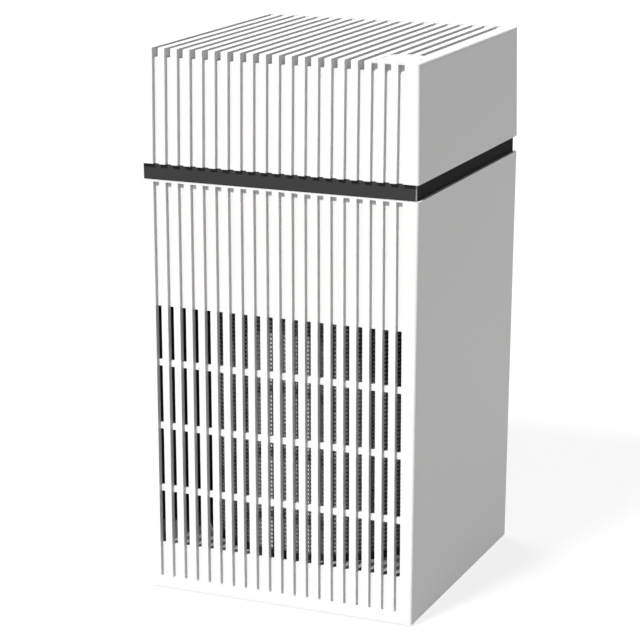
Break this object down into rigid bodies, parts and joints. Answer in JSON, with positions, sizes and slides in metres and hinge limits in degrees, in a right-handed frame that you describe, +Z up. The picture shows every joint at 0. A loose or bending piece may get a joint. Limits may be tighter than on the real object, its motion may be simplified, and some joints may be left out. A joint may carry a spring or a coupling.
{
  "type": "air purifier",
  "caption": "Square tower air purifier with grooved front and rear, plain sides, a recessed dark waist band, open outlet slots on top, a round button and a drop-out round filter.",
  "frame": {"origin": "middle of the footprint, on the surface it stands on", "axes": "+X to the object's right seen from the front, +Y to the rear, +Z up; the front faces -Y"},
  "size_m": [0.2186, 0.2156, 0.4135],
  "materials": {
    "white_plastic": "satin moulded",
    "pale_plastic": "satin moulded",
    "black_plastic": "fine texture",
    "charcoal_plastic": "fine texture",
    "light_diffuser": "translucent, smooth",
    "rubber": "matt",
    "foam": "soft, open",
    "filter_net": "woven net",
    "filter_paper": "pleated fibre",
    "carbon_felt": "granular",
    "circuit_board": "solder mask",
    "steel": "machined",
    "winding": "enamelled"
  },
  "bodies": {
    "root": {"front_grille": "white_plastic", "rear_grille": "white_plastic", "left_side_panel": "white_plastic", "right_side_panel": "white_plastic", "top_cover": "white_plastic", "base_frame": "pale_plastic", "middle_band": "black_plastic", "control_cup": "black_plastic", "tact_switch": "black_plastic", "power_socket": "black_plastic", "inlet_guard": "black_plastic", "motor_cap": "black_plastic", "board_holder": "black_plastic", "fan_deck": "charcoal_plastic", "fan_duct": "charcoal_plastic", "motor_mount": "charcoal_plastic", "light_ring": "light_diffuser", "foot_rear_right": "rubber", "foot_rear_left": "rubber", "foot_front_left": "rubber", "foot_front_right": "rubber", "supply_lead": "rubber", "motor_lead": "rubber", "control_board": "circuit_board", "main_board": "circuit_board", "motor_can": "steel", "bearing_lower": "steel", "bearing_upper": "steel", "button_spring": "steel", "base_screw_1": "steel", "base_screw_2": "steel", "base_screw_3": "steel", "base_screw_4": "steel", "cover_screw_1": "steel", "cover_screw_2": "steel", "cover_screw_3": "steel", "cover_screw_4": "steel", "duct_screw_1": "steel", "duct_screw_2": "steel", "duct_screw_3": "steel", "duct_screw_4": "steel", "deck_screw_1": "steel", "deck_screw_2": "steel", "deck_screw_3": "steel", "deck_screw_4": "steel", "motor_stator": "winding"},
    "fan_rotor": {"impeller": "charcoal_plastic", "impeller_nut": "steel", "motor_shaft": "steel", "motor_rotor": "charcoal_plastic"},
    "button": {"power_button": "white_plastic"},
    "cartridge": {"filter_bottom_cap": "black_plastic", "filter_top_cap": "black_plastic", "filter_seal": "foam", "filter_net": "filter_net", "filter_media": "filter_paper", "filter_carbon_layer": "carbon_felt", "filter_pull_tab": "foam"},
    "door": {"filter_door": "white_plastic"}
  },
  "joints": [
    {"name": "impeller_spin", "type": "hinge", "parent": "root", "child": "fan_rotor", "pos_m": [0, 0, 0.27], "axis": [0, 0, 1], "continuous": true},
    {"name": "button_press", "type": "slide", "parent": "root", "child": "button", "axis": [0, 0, -1], "range_m": [0, 0.0008], "stiffness_N_per_m": 600, "springref_m": -0.001, "deforming": ["button_spring"]},
    {"name": "filter_drop", "type": "slide", "parent": "root", "child": "cartridge", "axis": [0, 0, -1], "range_m": [0, 0.26]},
    {"name": "door_turn", "type": "hinge", "parent": "cartridge", "child": "door", "pos_m": [0, 0, 0.006], "axis": [0, 0, 1], "range_deg": [0, 30]}
  ]
}
